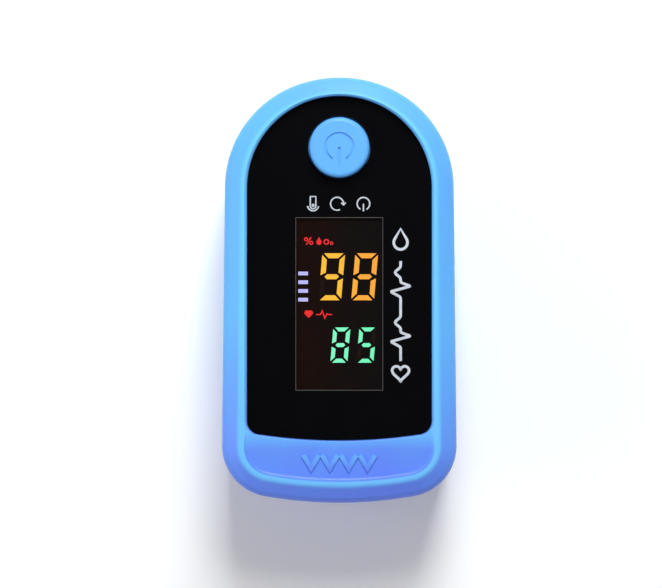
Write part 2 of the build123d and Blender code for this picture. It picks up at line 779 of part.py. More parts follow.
def digit(size, x, y, names):
    """Named segments of one seven-segment digit, as flat shapes, a to g clockwise from the top."""
    half, tall, stroke = size[0] / 2, size[1] / 2, size[2]
    gap = segment_gap
    inner = half - stroke
    low = tall - stroke
    top = [(-half + gap, tall), (half - gap, tall), (inner - gap, low), (gap - inner, low)]
    left = [(-half, tall - gap), (-inner, tall - stroke - gap), (-inner, stroke / 2 + gap), (-half, gap)]
    right = [(-px, py) for px, py in left]
    middle = [(stroke / 2 + gap - half, 0), (gap - inner, stroke / 2), (inner - gap, stroke / 2)]
    middle += [(-px, -py) for px, py in middle]

    def turned(points):
        return [(px, -py) for px, py in points]

    shapes = {"a": top, "b": right, "c": turned(right), "d": turned(top), "e": turned(left)}
    shapes |= {"f": left, "g": middle}
    return [slanted(shapes[name], x, y) for name in names]


def light_solids(faces):
    low = display_top - segment_depth
    return [Pos(0, 0, low) * extrude(face, segment_depth, dir=(0, 0, 1)) for face in faces]


def oxygen_lights():
    faces = digit(big_digit, big_digit_centres[0], big_digit_y, "abcdfg")
    return light_solids(faces + digit(big_digit, big_digit_centres[1], big_digit_y, "abcdefg"))


def pulse_lights():
    faces = digit(small_digit, small_digit_centres[0], small_digit_y, "abcdefg")
    return light_solids(faces + digit(small_digit, small_digit_centres[1], small_digit_y, "acdfg"))


def dark_lights():
    faces = digit(big_digit, big_digit_centres[0], big_digit_y, "e")
    return light_solids(faces + digit(small_digit, small_digit_centres[1], small_digit_y, "be"))


def level_lights():
    bar = Rectangle(*bar_size)
    return light_solids([Pos(bar_x, bar_top_y - i * bar_pitch) * bar for i in range(bar_count)])


def label_lights():
    """Percent sign, drop and molecule over the oxygen value; heart and pulse trace over the rate."""
    x, y = oxygen_label
    tall = label_height / 2
    ring_radius = percent_ring[0]
    ring = Circle(ring_radius) - Circle(percent_ring[1])
    percent = [Pos(x - 1.75, y + tall - ring_radius) * ring, Pos(x - 1.05, y - tall + ring_radius) * ring]
    percent.append(trace(Line((x - 1.72, y - tall), (x - 1.08, y + tall)), fine_stroke))
    low = y - tall + drop_radius
    touch = drop_radius * cos(radians(30))
    shoulder = low + drop_radius / 2
    tip = Polygon((x - touch, shoulder), (x + touch, shoulder), (x, low + 2 * drop_radius), align=None)
    drop = Pos(x, low) * Circle(drop_radius) + tip
    molecule = Pos(x + 1.0, y - 0.12) * (Circle(molecule_ring[0]) - Circle(molecule_ring[1]))
    atoms = Pos(x + 1.72, y - 0.3) * (Circle(atom_ring[0]) - Circle(atom_ring[1]))
    x, y = pulse_label
    lobe = Circle(heart_lobe)
    side = heart_lobe * sqrt(2) / 2
    heart = Rot(0, 0, 45) * Rectangle(2 * heart_lobe, 2 * heart_lobe)
    heart = Pos(x, y) * (heart + Pos(-side, side) * lobe + Pos(side, side) * lobe)
    start = x + 1.0
    beat = [(0, 0), (0.6, 0), (0.85, 0.5), (1.2, -0.5), (1.5, 0.12), (1.65, 0), (2.2, 0)]
    pulse = trace(Polyline(*[(start + px, y + py) for px, py in beat]), fine_stroke)
    return light_solids(percent + [drop, molecule, atoms, heart, pulse])


def all_lights():
    return oxygen_lights() + pulse_lights() + dark_lights() + level_lights() + label_lights()


# ---------------------------------------------------------------- every node
def make_screws(seat, direction):
    return Compound(children=[screw(x, y, seat, direction) for x, y in screw_places()])


spring = make_torsion_spring()
nodes = {
    "lower_shell": make_lower_shell(),
    "battery_door": make_battery_door(),
    "lower_tray": make_lower_tray(),
    "lower_tray_screws": make_screws(tray_top, 1),
    "lower_finger_pad": make_finger_pad(-1),
    "sensor_window": make_sensor_window(-1),
    "photodiode": make_photodiode(),
    "sensor_board": make_sensor_board(),
    "lower_cable_socket": make_lower_socket(),
    "hinge_pins": make_hinge_pins(),
    "torsion_spring_right": spring,
    "torsion_spring_left": mirror(spring, about=Plane.YZ),
    "flex_cable": make_flex_cable(),
    "battery_left": make_cell(-1),
    "battery_right": make_cell(1),
    "bridge_contact": make_bridge_contact(),
    "terminal_contacts": make_terminal_contacts(),
    "contact_springs": make_contact_springs(),
    "upper_shell": make_upper_shell(),
    "front_lens": make_front_lens(),
    "panel_mask": make_panel_mask(),
    "upper_tray": make_upper_tray(),
    "upper_tray_screws": make_screws(upper_tray_z, -1),
    "upper_finger_pad": make_finger_pad(1),
    "emitter_window": make_sensor_window(1),
    "light_emitter": make_emitter(),
    "emitter_board": make_emitter_board(),
    "main_board": make_main_board(),
    "microcontroller": make_microcontroller(),
    "board_parts": make_board_parts(),
    "upper_cable_socket": make_upper_socket(),
    "display_body": make_display_body(),
    "oxygen_segments": Compound(children=oxygen_lights()),
    "pulse_segments": Compound(children=pulse_lights()),
    "dark_segments": Compound(children=dark_lights()),
    "level_bars": Compound(children=level_lights()),
    "lit_labels": Compound(children=label_lights()),
    "switch_body": make_switch_body(),
    "switch_stem": make_switch_stem(),
    "button_cap": make_button_cap(),
}

os.makedirs("parts", exist_ok=True)
for name, shape in nodes.items():
    export_step(shape, f"parts/{name}.step")
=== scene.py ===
import json
from math import cos, pi, radians, sin

import bpy
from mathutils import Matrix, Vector


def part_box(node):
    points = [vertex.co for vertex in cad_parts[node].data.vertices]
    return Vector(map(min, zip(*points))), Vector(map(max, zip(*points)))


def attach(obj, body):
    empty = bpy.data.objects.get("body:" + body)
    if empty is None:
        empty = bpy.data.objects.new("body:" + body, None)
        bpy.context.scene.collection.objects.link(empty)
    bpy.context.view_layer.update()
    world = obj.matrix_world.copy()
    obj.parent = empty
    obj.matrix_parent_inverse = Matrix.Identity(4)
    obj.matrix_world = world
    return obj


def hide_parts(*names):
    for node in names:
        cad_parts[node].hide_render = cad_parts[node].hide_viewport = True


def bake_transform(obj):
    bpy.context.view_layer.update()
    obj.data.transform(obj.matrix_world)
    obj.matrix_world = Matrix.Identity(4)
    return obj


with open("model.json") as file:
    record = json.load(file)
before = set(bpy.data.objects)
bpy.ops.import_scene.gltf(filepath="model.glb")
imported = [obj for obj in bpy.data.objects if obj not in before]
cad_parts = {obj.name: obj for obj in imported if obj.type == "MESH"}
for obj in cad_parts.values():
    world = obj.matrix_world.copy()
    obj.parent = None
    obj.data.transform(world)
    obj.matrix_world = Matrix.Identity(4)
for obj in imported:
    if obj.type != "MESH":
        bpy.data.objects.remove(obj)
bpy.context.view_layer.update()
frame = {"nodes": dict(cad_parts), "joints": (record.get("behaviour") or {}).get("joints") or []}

MM = 0.001
nodes = frame["nodes"]


def middle(node):
    low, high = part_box(node)
    return (low + high) / 2


# ---------------------------------------------------------------- places, read from the frame
film_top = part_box("panel_mask")[1].z    # the panel's printed film
rim_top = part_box("upper_shell")[1].z
window = middle("display_body")
WINDOW_SIZE = (11.85 * MM, 23.5 * MM)   # inside the printed line round the display
INK = 0.012 * MM                        # thickness of the print on the film
ink_z = film_top + INK
hinge = Vector(next(joint["pos_m"] for joint in frame["joints"] if joint["name"] == "clip_hinge"))


# ---------------------------------------------------------------- modelling helpers
def select_only(*pieces):
    bpy.ops.object.select_all(action="DESELECT")
    for piece in pieces:
        piece.select_set(True)
    bpy.context.view_layer.objects.active = pieces[0]


def settle(piece):
    """Put the piece's place into its mesh, with its object at the origin."""
    select_only(piece)
    bpy.ops.object.transform_apply(location=True, rotation=True, scale=True)
    return piece


def apply_modifier(piece, kind, **settings):
    select_only(piece)
    modifier = piece.modifiers.new(kind.title(), kind)
    for key, value in settings.items():
        setattr(modifier, key, value)
    bpy.ops.object.modifier_apply(modifier=modifier.name)
    return piece


def join(name, pieces):
    select_only(*pieces)
    if len(pieces) > 1:
        bpy.ops.object.join()
    joined = bpy.context.view_layer.objects.active
    joined.name = name
    joined.data.name = name
    return joined


def smooth(piece, angle):
    """Smooth shading, with an edge kept wherever two faces meet at more than the angle."""
    select_only(piece)
    bpy.ops.object.shade_smooth_by_angle(angle=radians(angle))


def finish_piece(piece, material, body, slot, *replaced):
    """Material, body and replaced nodes of a new piece; the slot argument is not used."""
    piece.data.materials.clear()
    piece.data.materials.append(material)
    if replaced:
        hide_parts(*replaced)
    if body:
        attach(piece, body)


def drawn_path(name, points):
    """Edges through the points, extruded from one vertex step by step."""
    bpy.ops.object.select_all(action="DESELECT")
    bpy.ops.mesh.primitive_plane_add(size=MM, location=points[0])
    path = bpy.context.object
    path.name = name
    bpy.ops.object.mode_set(mode="EDIT")
    bpy.ops.mesh.select_all(action="SELECT")
    bpy.ops.mesh.merge(type="CENTER")
    for start, end in zip(points, points[1:]):
        step = Vector(end) - Vector(start)
        bpy.ops.mesh.extrude_region_move(TRANSFORM_OT_translate={"value": step})
    bpy.ops.object.mode_set(mode="OBJECT")
    return path


def wire(name, points, radius, roundness=2, closed=False):
    """Round wire of one thickness along the points, as a closed mesh."""
    path = drawn_path(name, points + points[:1] if closed else points)
    if closed:
        bpy.ops.object.mode_set(mode="EDIT")
        bpy.ops.mesh.select_all(action="SELECT")
        bpy.ops.mesh.remove_doubles(threshold=0.001 * MM)
        bpy.ops.object.mode_set(mode="OBJECT")
    select_only(path)
    bpy.ops.object.convert(target="CURVE")
    path.data.bevel_depth = radius
    path.data.bevel_resolution = roundness
    path.data.use_fill_caps = True
    bpy.ops.object.convert(target="MESH")
    return settle(bpy.context.object)


def printed(name, lines, width):
    """Flat printed lines: round beads along the lines, pressed down on to the film."""
    beads = []
    for points, closed in lines:
        beads.append(wire(name, [(x, y, 0) for x, y in points], width / 2, 1, closed))
    marks = join(name, beads)
    marks.scale.z = INK / (width / 2)
    marks.location.z = ink_z
    return settle(marks)


def arc(x, y, radius, start, end, steps=24):
    """Points of a circular arc, from one angle to another in degrees."""
    angles = [radians(start + (end - start) * i / steps) for i in range(steps + 1)]
    return [(x + radius * cos(a), y + radius * sin(a)) for a in angles]


# ---------------------------------------------------------------- material helpers
def new_material(name):
    made = bpy.data.materials.new(name)
    made.use_nodes = True
    return made, made.node_tree.nodes["Principled BSDF"]


def add(mat, kind, settings=None, **inputs):
    """Node of one kind, with its settings, and with each input set or linked."""
    made = mat.node_tree.nodes.new(kind)
    for key, value in (settings or {}).items():
        setattr(made, key, value)
    for key, value in inputs.items():
        plug(mat, made, key.replace("_", " "), value)
    return made


def plug(mat, target, socket_name, value):
    socket = target.inputs[socket_name]
    if isinstance(value, bpy.types.NodeSocket):
        mat.node_tree.links.new(value, socket)
    else:
        socket.default_value = value


def place(mat):
    return add(mat, "ShaderNodeTexCoord").outputs["Object"]


def along(mat, axis):
    """Place on one axis of the frame, in metres."""
    return add(mat, "ShaderNodeSeparateXYZ", Vector=place(mat)).outputs[axis]


def clamped(mat, operation, first, second):
    """Sum or difference of two values, kept from 0 to 1."""
    made = add(mat, "ShaderNodeMath", {"operation": operation, "use_clamp": True})
    mat.node_tree.links.new(first, made.inputs[0])
    mat.node_tree.links.new(second, made.inputs[1])
    return made.outputs[0]


def noise(mat, scale, detail=3.0, stretch=None):
    """Noise at so many cells to the metre, drawn out by stretch along each axis."""
    where = place(mat)
    if stretch:
        where = add(mat, "ShaderNodeMapping", Vector=where, Scale=stretch).outputs["Vector"]
    return add(mat, "ShaderNodeTexNoise", Vector=where, Scale=scale, Detail=detail).outputs["Fac"]


def spread(mat, value, low, high, start=0.3, end=0.7):
    """Value from start to end, mapped to low to high."""
    limits = {"From_Min": start, "From_Max": end, "To_Min": low, "To_Max": high}
    made = add(mat, "ShaderNodeMapRange", {"clamp": True}, Value=value, **limits)
    return made.outputs["Result"]


def blend_colours(mat, factor, first, second):
    made = add(mat, "ShaderNodeMix", {"data_type": "RGBA"})
    for index, value in ((0, factor), (6, first), (7, second)):
        if isinstance(value, bpy.types.NodeSocket):
            mat.node_tree.links.new(value, made.inputs[index])
        elif index:
            made.inputs[index].default_value = (*value, 1)
        else:
            made.inputs[index].default_value = value
    return made.outputs[2]


def bump(mat, height, strength, depth, normal=None):
    """Surface relief of so many metres, over another relief if one is given."""
    made = add(mat, "ShaderNodeBump", Height=height, Strength=strength, Distance=depth)
    if normal:
        plug(mat, made, "Normal", normal)
    return made.outputs["Normal"]


def spark_grain(mat, flow, strength):
    """Fine grain of a spark-eroded mould, under the faint waves of the flow."""
    fine = bump(mat, noise(mat, 5200, 2), strength, 0.012 * MM)
    return bump(mat, flow, 0.15, 0.03 * MM, fine)


def moulded(name, colour, second, roughness, grain=0.25, coat=0.0):
    """Moulded plastic: spark-eroded grain, faint flow marks and uneven gloss."""
    mat, shader = new_material(name)
    flow = noise(mat, 160, 4, (1, 0.35, 1))
    plug(mat, shader, "Base Color", blend_colours(mat, spread(mat, flow, 0, 1), colour, second))
    rough = spread(mat, noise(mat, 900, 3), roughness - 0.05, roughness + 0.07)
    plug(mat, shader, "Roughness", rough)
    plug(mat, shader, "Normal", spark_grain(mat, flow, grain))
    plug(mat, shader, "Coat Weight", coat)
    plug(mat, shader, "Coat Roughness", 0.18)
    return mat


def case_plastic(name, nose, shaded_squeeze_end, wear_and_highlight):
    """Case plastic whose colour goes from one blue to another, darker one towards the squeeze end
    as painted shade, and is paler on the top of the rim as a painted highlight.
    """
    mat, shader = new_material(name)
    flow = noise(mat, 160, 4, (1, 0.35, 1))
    # Painted shade: the blue goes darker and more violet from y = -4 mm to y = -28 mm, towards the
    # squeeze end.
    shade_start, shade_end = -4 * MM, -28 * MM
    painted_shade_run = spread(mat, along(mat, "Y"), 0, 1, shade_start, shade_end)
    swirl = spread(mat, flow, -0.12, 0.12)
    # Own blue with its flow swirls, turned to the darker blue by the painted shade.
    dye_and_shade = blend_colours(mat, clamped(mat, "ADD", painted_shade_run, swirl), nose, shaded_squeeze_end)
    # Painted highlight: the blue turns paler over the top 0.26 mm of the rim.
    highlight_low, highlight_high = rim_top - 0.26 * MM, rim_top - 0.02 * MM
    rim_highlight = spread(mat, along(mat, "Z"), 0, 0.6, highlight_low, highlight_high)
    plug(mat, shader, "Base Color", blend_colours(mat, rim_highlight, dye_and_shade, wear_and_highlight))
    plug(mat, shader, "Roughness", spread(mat, noise(mat, 900, 3), 0.34, 0.46))
    plug(mat, shader, "Specular IOR Level", 0.3)
    plug(mat, shader, "Normal", spark_grain(mat, flow, 0.3))
    return mat


def metal(name, colour, roughness, brush=(1, 1, 1), grain=2500):
    """Drawn or rolled metal, brushed along the axis with the smallest stretch."""
    mat, shader = new_material(name)
    lines = noise(mat, grain, 3, brush)
    dark = tuple(0.72 * part for part in colour)
    patches = spread(mat, noise(mat, 700), 0, 1)
    plug(mat, shader, "Base Color", blend_colours(mat, patches, dark, colour))
    plug(mat, shader, "Metallic", 1.0)
    plug(mat, shader, "Roughness", spread(mat, lines, roughness - 0.08, roughness + 0.14))
    plug(mat, shader, "Normal", bump(mat, lines, 0.25, 0.01 * MM))
    return mat


def glowing(name, colour, second, left, right, strength):
    """Lit diffuser whose colour runs from left to right across the display."""
    mat, shader = new_material(name)
    hue = blend_colours(mat, spread(mat, along(mat, "X"), 0, 1, left, right), colour, second)
    mottle = spread(mat, noise(mat, 2600, 2), 0.82, 1.0)
    lit = add(mat, "ShaderNodeMix", {"data_type": "RGBA", "blend_type": "MULTIPLY"})
    lit.inputs[0].default_value = 1.0
    mat.node_tree.links.new(hue, lit.inputs[6])
    grey = add(mat, "ShaderNodeCombineColor", Red=mottle, Green=mottle, Blue=mottle)
    mat.node_tree.links.new(grey.outputs["Color"], lit.inputs[7])
    plug(mat, shader, "Base Color", (*[0.2 * part for part in colour], 1))
    plug(mat, shader, "Emission Color", lit.outputs[2])
    plug(mat, shader, "Emission Strength", strength)
    plug(mat, shader, "Roughness", 0.5)
    return mat


def clear_plastic(name, tint, roughness):
    """Clear moulding: light goes straight through, and the surface keeps its gloss."""
    mat, shader = new_material(name)
    tree = mat.node_tree
    tree.nodes.remove(shader)
    through = add(mat, "ShaderNodeBsdfTransparent", Color=(*tint, 1))
    smear = spread(mat, noise(mat, 260, 4), roughness, roughness + 0.05)
    normal = bump(mat, noise(mat, 130, 2), 0.04, 0.02 * MM)
    gloss = add(mat, "ShaderNodeBsdfGlossy", Color=(1, 1, 1, 1), Roughness=smear, Normal=normal)
    edge = add(mat, "ShaderNodeFresnel", IOR=1.49, Normal=normal)
    inside = add(mat, "ShaderNodeNewGeometry").outputs["Backfacing"]
    outer = clamped(mat, "SUBTRACT", edge.outputs["Fac"], inside)
    mix = add(mat, "ShaderNodeMixShader", Fac=outer)
    tree.links.new(through.outputs[0], mix.inputs[1])
    tree.links.new(gloss.outputs[0], mix.inputs[2])
    tree.links.new(mix.outputs[0], tree.nodes["Material Output"].inputs["Surface"])
    return mat


def board_mask(name):
    """Green solder mask with copper tracks showing through it."""
    mat, shader = new_material(name)
    turned = add(mat, "ShaderNodeMapping", Vector=place(mat), Rotation=(0, 0, radians(45)))
    tracks = add(mat, "ShaderNodeTexBrick", {"offset": 0.37}, Vector=turned.outputs["Vector"],
                 Scale=900.0, Mortar_Size=0.03)
    lines = spread(mat, tracks.outputs["Fac"], 0, 1, 0.2, 0.8)
    mask, copper = (0.012, 0.13, 0.045), (0.05, 0.3, 0.12)
    plug(mat, shader, "Base Color", blend_colours(mat, lines, mask, copper))
    plug(mat, shader, "Roughness", spread(mat, noise(mat, 900), 0.28, 0.42))
    plug(mat, shader, "Normal", bump(mat, lines, 0.4, 0.03 * MM))
    return mat


def silicone(name, colour, second):
    """Soft matte silicone with a dry bloom."""
    mat, shader = new_material(name)
    bloom = noise(mat, 420, 5)
    plug(mat, shader, "Base Color", blend_colours(mat, spread(mat, bloom, 0, 1), colour, second))
    plug(mat, shader, "Roughness", spread(mat, bloom, 0.52, 0.68))
    plug(mat, shader, "Normal", bump(mat, noise(mat, 4200, 2), 0.3, 0.02 * MM))
    plug(mat, shader, "Sheen Weight", 0.15)
    plug(mat, shader, "Sheen Roughness", 0.4)
    plug(mat, shader, "Subsurface Weight", 0.1)
    plug(mat, shader, "Subsurface Radius", (1.2 * MM, 1.2 * MM, 1.2 * MM))
    return mat


def cell_sleeve(name):
    """Shrink sleeve of the cells, dark with a copper-coloured band at one end."""
    mat, shader = new_material(name)
    band = spread(mat, along(mat, "Y"), 0, 1, 7.9 * MM, 8.1 * MM)
    wear = spread(mat, noise(mat, 700, 4), 0, 1, 0.45, 0.75)
    dark = blend_colours(mat, wear, (0.012, 0.013, 0.016), (0.03, 0.032, 0.036))
    plug(mat, shader, "Base Color", blend_colours(mat, band, dark, (0.42, 0.2, 0.05)))
    plug(mat, shader, "Roughness", spread(mat, noise(mat, 500), 0.2, 0.34))
    plug(mat, shader, "Coat Weight", 0.4)
    plug(mat, shader, "Normal", bump(mat, noise(mat, 300, 3), 0.1, 0.05 * MM))
    return mat


def flex_film(name):
    """Amber polyimide with copper conductors along the cable."""
    mat, shader = new_material(name)
    across = add(mat, "ShaderNodeTexWave", {"bands_direction": "X"}, Vector=place(mat),
                 Scale=420.0, Distortion=0.0)
    strips = spread(mat, across.outputs["Fac"], 0, 1, 0.4, 0.6)
    film, copper = (0.42, 0.17, 0.02), (0.72, 0.36, 0.1)
    plug(mat, shader, "Base Color", blend_colours(mat, strips, film, copper))
    plug(mat, shader, "Roughness", spread(mat, noise(mat, 900), 0.2, 0.35))
    plug(mat, shader, "Normal", bump(mat, strips, 0.3, 0.03 * MM))
    return mat


def printed_ink(name, colour):
    """Screen print, a little thin in patches."""
    mat, shader = new_material(name)
    patch = noise(mat, 1500, 3)
    wear_and_highlight = tuple(0.8 * part for part in colour)
    plug(mat, shader, "Base Color", blend_colours(mat, spread(mat, patch, 0, 1), wear_and_highlight, colour))
    plug(mat, shader, "Roughness", spread(mat, patch, 0.4, 0.6))
    return mat


def display_epoxy(name):
    """Dark brown casting, redder at the left where the light leaks into it."""
    mat, shader = new_material(name)
    side = spread(mat, along(mat, "X"), 0, 1, -6 * MM, 6 * MM)
    cloud = spread(mat, noise(mat, 300, 4), 0, 0.35)
    red_brown, grey_brown = (0.0145, 0.0045, 0.0022), (0.0072, 0.0052, 0.0052)
    both = clamped(mat, "ADD", side, cloud)
    plug(mat, shader, "Base Color", blend_colours(mat, both, red_brown, grey_brown))
    plug(mat, shader, "Specular IOR Level", 0.03)
    plug(mat, shader, "Roughness", spread(mat, noise(mat, 1200), 0.45, 0.6))
    return mat


def dull(mat, level):
    """Weaker mirror shine than the shader's own, on a finished material."""
    plug(mat, mat.node_tree.nodes["Principled BSDF"], "Specular IOR Level", level)


# ---------------------------------------------------------------- materials of this object
# Case blues: azure is the plastic's own colour, the second blue is painted shade at the squeeze
# end, the third a painted highlight on the rim.
azure, shaded_cornflower, highlight_azure = (0.122, 0.435, 0.93), (0.122, 0.225, 0.88), (0.165, 0.62, 0.98)
case_blue = case_plastic("case_blue", azure, shaded_cornflower, highlight_azure)
button_blue = moulded("button_blue", (0.118, 0.43, 0.93), (0.11, 0.395, 0.9), 0.36)
dull(button_blue, 0.3)
tray_plastic = moulded("tray_plastic", (0.62, 0.64, 0.66), (0.56, 0.58, 0.6), 0.5, 0.35)
socket_plastic = moulded("socket_plastic", (0.6, 0.55, 0.42), (0.52, 0.47, 0.36), 0.5, 0.3)
stem_plastic = moulded("stem_plastic", (0.05, 0.05, 0.05), (0.03, 0.03, 0.03), 0.5, 0.3)
chip_black = moulded("chip_black", (0.018, 0.018, 0.02), (0.03, 0.03, 0.032), 0.55, 0.5)
diode_black = moulded("diode_black", (0.012, 0.01, 0.02), (0.02, 0.015, 0.03), 0.2, 0.1, 0.5)
led_epoxy = moulded("led_epoxy", (0.72, 0.7, 0.62), (0.8, 0.76, 0.66), 0.3, 0.1, 0.5)
dark_segment = moulded("dark_segment", (0.02, 0.011, 0.007), (0.014, 0.009, 0.006), 0.5, 0.1)
black_mask = moulded("black_mask", (0.0022, 0.0022, 0.003), (0.0028, 0.0027, 0.0034), 0.5, 0.05)
dull(black_mask, 0.02)
dull(dark_segment, 0.02)
clear_lens = clear_plastic("clear_lens", (0.93, 0.93, 0.94), 0.02)
clear_window = clear_plastic("clear_window", (0.75, 0.3, 0.27), 0.04)
steel = metal("steel", (0.55, 0.55, 0.56), 0.3, (1, 1, 0.2))
spring_steel = metal("spring_steel", (0.42, 0.42, 0.43), 0.28, (0.3, 1, 1), grain=9000)
nickel = metal("nickel", (0.66, 0.62, 0.55), 0.22, (0.3, 1, 1))
green_board = board_mask("green_board")
grey_silicone = silicone("grey_silicone", (0.095, 0.1, 0.11), (0.13, 0.135, 0.145))
battery_wrap = cell_sleeve("battery_wrap")
flex_amber = flex_film("flex_amber")
display_brown = display_epoxy("display_brown")
amber_light = glowing("amber_light", (1.0, 0.51, 0.018), (1.0, 0.36, 0.022), 0, 2.8 * MM, 1.12)
green_light = glowing("green_light", (0.215, 1.0, 0.55), (0.16, 0.95, 0.48), 0, 4 * MM, 1.08)
violet_light = glowing("violet_light", (0.5, 0.5, 1), (0.55, 0.52, 1), -5.7 * MM, -4.2 * MM, 1.05)
red_light = glowing("red_light", (1.0, 0.006, 0.004), (0.95, 0.008, 0.006), -5 * MM, -1 * MM, 0.9)
white_ink = printed_ink("white_ink", (0.86, 0.9, 0.97))
line_ink = printed_ink("line_ink", (0.085, 0.075, 0.068))

NODE_MATERIALS = {
    case_blue: ("lower_shell", "upper_shell", "battery_door"),
    button_blue: ("button_cap",),
    tray_plastic: ("lower_tray", "upper_tray"),
    socket_plastic: ("lower_cable_socket", "upper_cable_socket", "switch_body"),
    stem_plastic: ("switch_stem",),
    chip_black: ("microcontroller", "board_parts"),
    diode_black: ("photodiode",),
    led_epoxy: ("light_emitter",),
    dark_segment: ("dark_segments",),
    black_mask: ("panel_mask",),
    clear_lens: ("front_lens",),
    clear_window: ("sensor_window", "emitter_window"),
    steel: ("lower_tray_screws", "upper_tray_screws", "hinge_pins"),
    nickel: ("bridge_contact", "terminal_contacts"),
    green_board: ("main_board", "sensor_board", "emitter_board"),
    battery_wrap: ("battery_left", "battery_right"),
    display_brown: ("display_body",),
    amber_light: ("oxygen_segments",),
    green_light: ("pulse_segments",),
    violet_light: ("level_bars",),
    red_light: ("lit_labels",),
}
for finish, names in NODE_MATERIALS.items():
    for name in names:
        nodes[name].data.materials.clear()
        nodes[name].data.materials.append(finish)


# ---------------------------------------------------------------- prints on the front panel
def on_panel(points, x, y):
    """Points in millimetres round a place on the panel, in metres."""
    return [(x + px * MM, y + py * MM) for px, py in points]


def make_window_line():
    """Thin printed line round the display."""
    half_x, half_y = WINDOW_SIZE[0] / 2, WINDOW_SIZE[1] / 2
    signs = ((-1, -1), (1, -1), (1, 1), (-1, 1))
    corners = [(window.x + sx * half_x, window.y + sy * half_y) for sx, sy in signs]
    line = printed("window_line", [(corners, True)], 0.13 * MM)
    finish_piece(line, line_ink, "upper_half", "black_mask")


def make_icons():
    """Row of three symbols: finger in the clip, turned arrow, and power."""
    above_window, stroke = 1.9 * MM, 0.18 * MM
    row_y = window.y + WINDOW_SIZE[1] / 2 + above_window
    knuckle = [(-0.38, 0.98), (0.38, 0.98), (0.38, -0.3)]
    finger = knuckle + arc(0, -0.3, 0.38, 0, -180, 8)[1:] + knuckle[:1]
    tip = arc(0, -0.22, 0.13, 0, 360, 10)[:-1]
    clip = arc(0, -0.2, 0.76, 190, 350, 14)
    turn = arc(0, 0, 0.88, -4, 298, 28)
    head = [(0.56, 0.14), (0.88, -0.18), (1.18, 0.16)]
    ring = arc(0, 0, 0.86, -62, 242, 28)
    bar = [(0, 0), (0, -1.02)]
    icons = [
        ("finger_icon", -3.57 * MM, [(finger, False), (tip, True), (clip, False)]),
        ("turn_icon", -0.31 * MM, [(turn, False), (head, False)]),
        ("power_icon", 3.29 * MM, [(ring, False), (bar, False)]),
    ]
    for name, offset, lines in icons:
        x = window.x + offset
        drawn = [(on_panel(points, x, row_y), closed) for points, closed in lines]
        finish_piece(printed(name, drawn, stroke), white_ink, "upper_half", "clear_lens")


def heart_points(size):
    """Heart outline of a given height, by the usual sine curve, moved to its middle."""
    steps, curve_height, curve_middle = 32, 29, -2.5
    points = []
    for i in range(steps):
        t = 2 * pi * i / steps
        x = 16 * sin(t) ** 3
        y = 13 * cos(t) - 5 * cos(2 * t) - 2 * cos(3 * t) - cos(4 * t)
        points.append((x * size / curve_height, (y - curve_middle) * size / curve_height))
    return points


def drop_points(size):
    """Drop outline of about a given height, with its tip upwards."""
    tip = [(0, 0.58 * size)]
    return tip + arc(0, -0.14 * size, 0.36 * size, 30, -210, 18)


def wave(start, width, height, steps=8):
    """Points of one rounded wave on a level line, between its two ends."""
    shares = [i / steps for i in range(1, steps + 1)]
    return [(start + width * share, height * sin(pi * share) ** 2) for share in shares]


def softened(points, reach, steps=5):
    """Points with each inner corner turned into a short curve that stays within reach of it."""
    curved = [points[0]]
    for before, corner, after in zip(points, points[1:], points[2:]):
        corner = Vector(corner)
        ends = []
        for other in (before, after):
            way = Vector(other) - corner
            ends.append(corner + way * min(0.45, reach / way.length))
        for i in range(steps + 1):
            t = i / steps
            inward = (1 - t) ** 2 * ends[0] + 2 * t * (1 - t) * corner + t * t * ends[1]
            curved.append(tuple(inward))
    return curved + [points[-1]]


def make_pulse_trace():
    """Heart, two beats of a pulse and a drop, printed up the right of the window."""
    centre_x = window.x + 8.35 * MM
    start_y = window.y - 10.87 * MM
    stroke = 0.36 * MM
    beat_length, heart_up, trace_up, drop_up = 6.8, 1.35, 3.1, 19.6
    spike = [(0, 0), (1.9, 0), (2.65, 1.35), (3.4, -1.35), (3.9, 0), (4.4, 0)]
    beat = [*spike, *wave(4.4, 1.7, 0.75), (beat_length, 0)]
    trace = beat + [(x + beat_length, y) for x, y in beat[1:]]
    upright = [
        (softened([(-y, x + trace_up) for x, y in trace], 0.22), False),
        ([(x, y + heart_up) for x, y in heart_points(2.1)], True),
        ([(x, y + drop_up) for x, y in drop_points(2.6)], True),
    ]
    lines = [(on_panel(points, centre_x, start_y), closed) for points, closed in upright]
    pulse = printed("pulse_print", lines, stroke)
    finish_piece(pulse, white_ink, "upper_half", "clear_lens")


# ---------------------------------------------------------------- springs and cable
def make_torsion_spring(side):
    """Wire coil round the hinge pin on one side, with a leg that bears on each tray."""
    low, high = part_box("torsion_spring_right")
    wire_radius, coil_radius = 0.38 * MM, 2.5 * MM
    turns, steps = 4.5, 24
    first, last = high.x - wire_radius, low.x + wire_radius
    bottom, top = low.z + wire_radius, high.z - wire_radius
    leg, leg_slant = 1.4 * MM, 0.1 * MM
    points = [(first, low.y, bottom), (first, low.y + leg, bottom + leg_slant)]
    for i in range(int(turns * steps) + 1):
        turn = i / steps
        angle = -pi / 2 + 2 * pi * turn
        x = first + (last - first) * turn / turns
        points.append((x, hinge.y + coil_radius * cos(angle), hinge.z + coil_radius * sin(angle)))
    points += [(last, low.y + leg, top - leg_slant), (last, low.y, top)]
    points = [(side * x, y, z) for x, y, z in points]
    name = "right" if side > 0 else "left"
    spring = wire(f"spring_{name}", points, wire_radius, 3)
    smooth(spring, 50)
    finish_piece(spring, spring_steel, None, "spring_steel", f"torsion_spring_{name}")
    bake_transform(spring)


